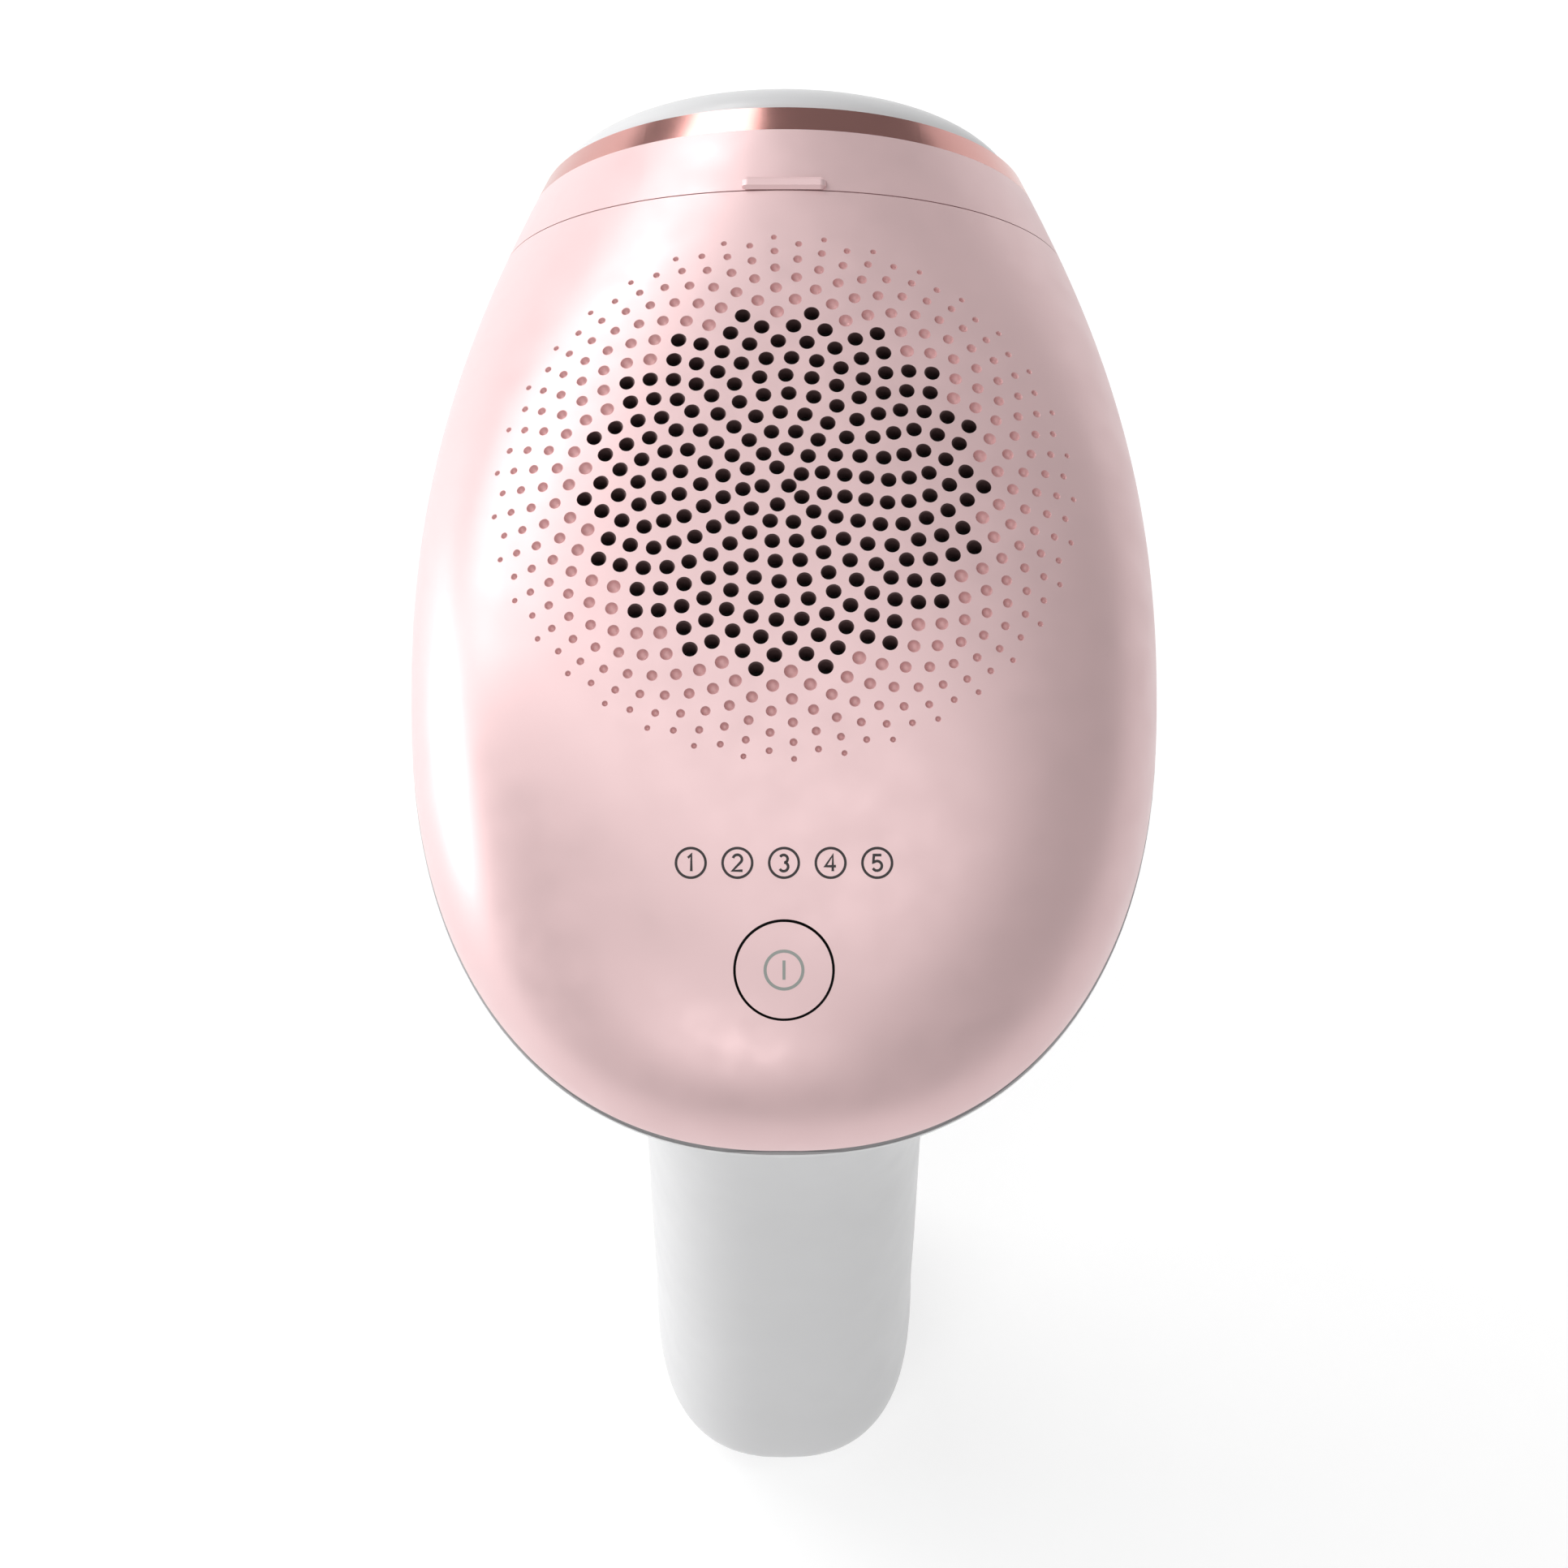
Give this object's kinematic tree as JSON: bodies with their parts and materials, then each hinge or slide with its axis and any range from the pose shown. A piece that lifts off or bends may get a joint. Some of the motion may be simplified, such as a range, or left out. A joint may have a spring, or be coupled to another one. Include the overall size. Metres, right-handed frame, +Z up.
{
  "type": "ipl hair remover",
  "caption": "Pistol-shaped pulsed-light hair remover: egg-shaped pink head with perforated fan vent, pull-off window attachment, white oval handle with flash button.",
  "frame": {"origin": "middle of the handle's lower end, at the mouth of the power inlet", "axes": "+Z up the handle to the head, +Y out of the treatment window, X = 0 the plane of symmetry"},
  "size_m": [0.0844, 0.1272, 0.1375],
  "materials": {
    "pink_shell": "pearlescent satin pink",
    "rose_gold": "rose-gold plated, bright",
    "white_shell": "satin white",
    "grey_seal": "soft matte grey",
    "dark_mesh": "fine woven black mesh",
    "dark_plastic": "black moulded plastic",
    "light_plastic": "natural moulded plastic",
    "bright_metal": "polished",
    "steel": "bright zinc",
    "copper": "gold and copper contacts and windings",
    "ferrite": "sintered grey ferrite",
    "glass": "coated filter glass",
    "board": "solder-masked board",
    "capacitor_sleeve": "shrink sleeve",
    "wire": "silicone insulation"
  },
  "bodies": {
    "housing": {"board_chips": "dark_plastic", "board_screws": "steel", "board_standoffs": "light_plastic", "capacitor_bung": "grey_seal", "capacitor_clamp": "light_plastic", "capacitor_leads": "steel", "chassis": "light_plastic", "choke": "dark_plastic", "control_board": "board", "dust_mesh": "dark_mesh", "fan_frame": "dark_plastic", "fan_screws": "steel", "fan_stator": "copper", "film_capacitor": "light_plastic", "flash_button_spring": "steel", "flash_microswitch": "dark_plastic", "flash_tube": "glass", "handle_front_shell": "white_shell", "handle_rear_shell": "white_shell", "inlet_pin": "steel", "inlet_tags": "steel", "inlet_wires": "wire", "intensity_leds": "glass", "lamp_leads": "wire", "light_filter_glass": "glass", "light_guide": "light_plastic", "main_board": "board", "nose_contact_pads": "copper", "nose_screws": "steel", "power_button_spring": "steel", "power_inlet": "dark_plastic", "power_tact_switch": "dark_plastic", "power_transistor": "dark_plastic", "reflector": "bright_metal", "skin_tone_sensor": "glass", "split_gasket": "grey_seal", "spring_seat": "dark_plastic", "storage_capacitor": "capacitor_sleeve", "switch_heat_sink": "bright_metal", "top_shell": "pink_shell", "transformer_core": "ferrite", "transformer_winding": "light_plastic", "trigger_wire": "steel", "tube_electrodes": "steel", "tube_holders": "light_plastic", "window_frame": "dark_plastic", "window_seal": "grey_seal"},
    "power_button": {"power_button_cap": "pink_shell", "power_button_plunger": "dark_plastic"},
    "flash_button": {"flash_button": "white_shell"},
    "attachment": {"attachment_collar": "pink_shell", "attachment_trim_ring": "rose_gold", "attachment_bezel": "white_shell", "attachment_inner_frame": "bright_metal", "attachment_latches": "steel", "attachment_contacts": "dark_plastic", "contact_ring_springs": "steel"},
    "contact_frame": {"skin_contact_ring": "steel"},
    "fan_rotor": {"fan_rotor": "dark_plastic", "fan_shaft": "steel"}
  },
  "joints": [
    {"name": "power_button_press", "type": "slide", "parent": "housing", "child": "power_button", "axis": [0, 0.3746, -0.9272], "range_m": [0, 0.0007], "stiffness_N_per_m": 1500, "deforming": ["power_button_spring"]},
    {"name": "flash_button_press", "type": "slide", "parent": "housing", "child": "flash_button", "axis": [0, -1, 0], "range_m": [0, 0.0012], "stiffness_N_per_m": 1200, "deforming": ["flash_button_spring"]},
    {"name": "attachment_pull", "type": "slide", "parent": "housing", "child": "attachment", "axis": [0, 1, 0], "range_m": [0, 0.03]},
    {"name": "contact_ring_press", "type": "slide", "parent": "attachment", "child": "contact_frame", "axis": [0, -1, 0], "range_m": [0, 0.001], "stiffness_N_per_m": 1200, "deforming": ["contact_ring_springs"]},
    {"name": "fan_spin", "type": "hinge", "parent": "housing", "child": "fan_rotor", "pos_m": [0, 0.0486, 0.13701], "axis": [0, 0.0993, 0.9951], "continuous": true}
  ]
}
